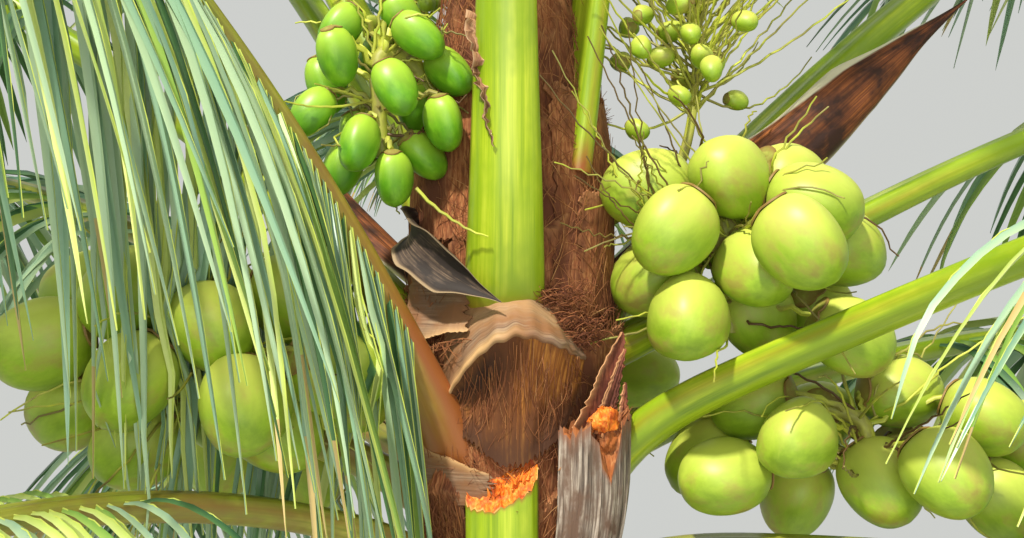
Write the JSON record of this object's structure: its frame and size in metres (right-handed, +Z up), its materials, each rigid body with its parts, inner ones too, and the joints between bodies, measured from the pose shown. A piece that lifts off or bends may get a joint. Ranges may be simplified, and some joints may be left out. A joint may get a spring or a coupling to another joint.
{
  "type": "dwarf coconut palm tree",
  "caption": "Rooted dwarf coconut palm with a ringed trunk, arching feather fronds, torn leaf sheaths, dry spathes and hanging bunches of green nuts.",
  "frame": {"origin": "middle of the flat cut under the trunk, at ground level", "axes": "+Z up the tree, +X to the right and +Y away from a viewer who faces the side where the fruit shows best"},
  "size_m": [7.695, 6.6149, 6.0317],
  "materials": {
    "bark": "matte",
    "fibre": "matte",
    "spear_leaf": "satin",
    "cut_stalk": "satin",
    "dead_stalk": "matte",
    "dry_spathe": "matte",
    "flower_branch": "satin",
    "nut": "satin",
    "young_nut": "satin",
    "leaf": "satin"
  },
  "bodies": {
    "root": {"trunk": "bark", "heart": "fibre", "spear": "spear_leaf", "stub_green_cut": "cut_stalk", "stub_grey_broken": "dead_stalk", "stub_back": "dead_stalk", "stub_back_left": "dead_stalk", "sheath_front": "fibre", "sheath_front_left": "fibre", "sheath_back": "fibre", "spathe_right": "dry_spathe", "spathe_left_dark": "dry_spathe", "spathe_back": "dry_spathe", "flower_stalk_right": "flower_branch", "flower_stalk_back": "flower_branch", "bunch_right": "nut", "bunch_right_low": "nut", "bunch_left": "nut", "bunch_left_young": "young_nut", "bunch_back": "nut", "bunch_back_left": "nut", "frond_front_upright": "leaf", "frond_back_steep": "leaf", "frond_right_high": "leaf", "frond_right_front": "leaf", "frond_right_middle": "leaf", "frond_right_bent": "leaf", "frond_right_back": "leaf", "frond_right_low": "leaf", "frond_left_low": "leaf", "frond_left_curtain": "leaf", "frond_young_1": "leaf", "frond_young_2": "leaf", "frond_young_3": "leaf", "frond_young_4": "leaf", "frond_back_1": "leaf", "frond_back_2": "leaf", "frond_back_3": "leaf", "frond_back_4": "leaf", "frond_back_5": "leaf", "frond_back_6": "leaf", "frond_back_7": "leaf", "frond_back_8": "leaf", "frond_back_9": "leaf"}
  },
  "joints": []
}
